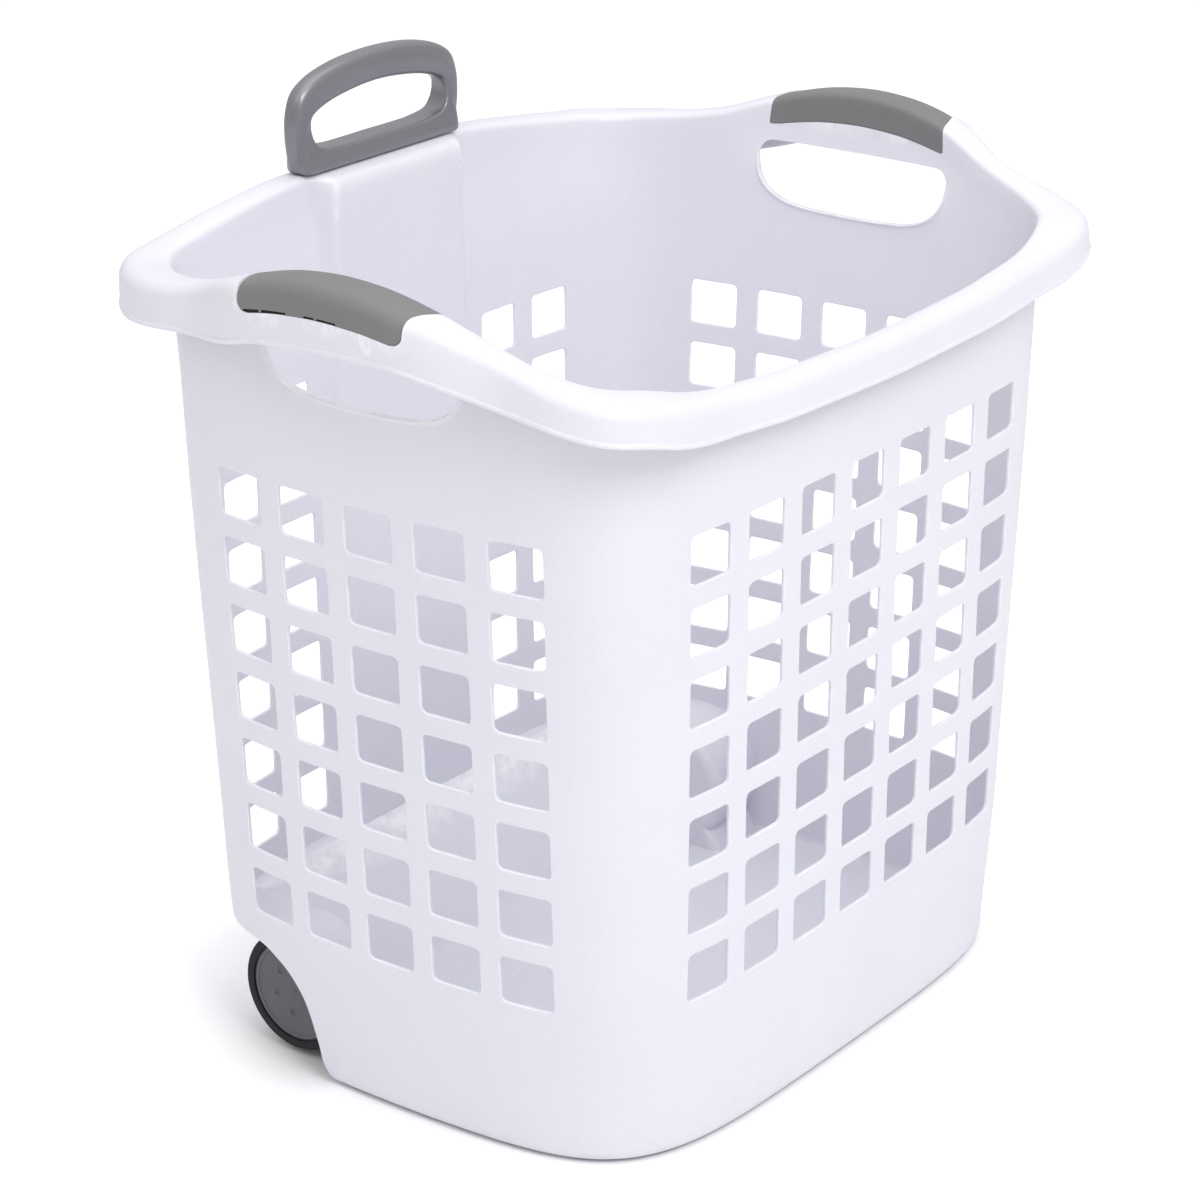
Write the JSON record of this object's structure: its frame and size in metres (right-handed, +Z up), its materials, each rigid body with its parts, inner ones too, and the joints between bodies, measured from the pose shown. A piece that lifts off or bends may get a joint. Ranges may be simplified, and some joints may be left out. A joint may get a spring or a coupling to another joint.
{
  "type": "wheeled laundry hamper",
  "caption": "Moulded open-weave laundry hamper with wheels at the back corners, a fixed pull handle over the back wall and a saddle grip on each side bar.",
  "frame": {"origin": "middle of the flat underside of the base, on the plane of symmetry, at floor level", "axes": "+Z up, front wall faces -Y, pull handle and wheels at +Y, the side bars face +X and -X"},
  "size_m": [0.6244, 0.4468, 0.6336],
  "materials": {
    "white_plastic": "satin white moulded plastic with a faint cool cast",
    "handle_grey": "satin mid grey plastic",
    "grip_grey": "dull mid grey soft plastic",
    "steel": "bright zinc-plated steel",
    "wheel_grey": "satin dark grey plastic",
    "tyre_black": "near-black tyre band"
  },
  "bodies": {
    "chassis": {"basket_body": "white_plastic", "pull_handle": "handle_grey", "grip_left": "grip_grey", "grip_right": "grip_grey", "axle_pin_left": "steel", "axle_pin_right": "steel", "axle_washer_left": "steel", "axle_washer_right": "steel", "push_nut_left": "steel", "push_nut_right": "steel"},
    "wheel_left": {"wheel_core_left": "wheel_grey", "wheel_tyre_left": "tyre_black", "wheel_cap_left": "wheel_grey"},
    "wheel_right": {"wheel_core_right": "wheel_grey", "wheel_tyre_right": "tyre_black", "wheel_cap_right": "wheel_grey"}
  },
  "joints": [
    {"name": "wheel_left_spin", "type": "hinge", "parent": "chassis", "child": "wheel_left", "pos_m": [-0.217, 0.1074, 0.0465], "axis": [1, 0, 0], "continuous": true},
    {"name": "wheel_right_spin", "type": "hinge", "parent": "chassis", "child": "wheel_right", "pos_m": [0.217, 0.1074, 0.0465], "axis": [1, 0, 0], "continuous": true}
  ]
}
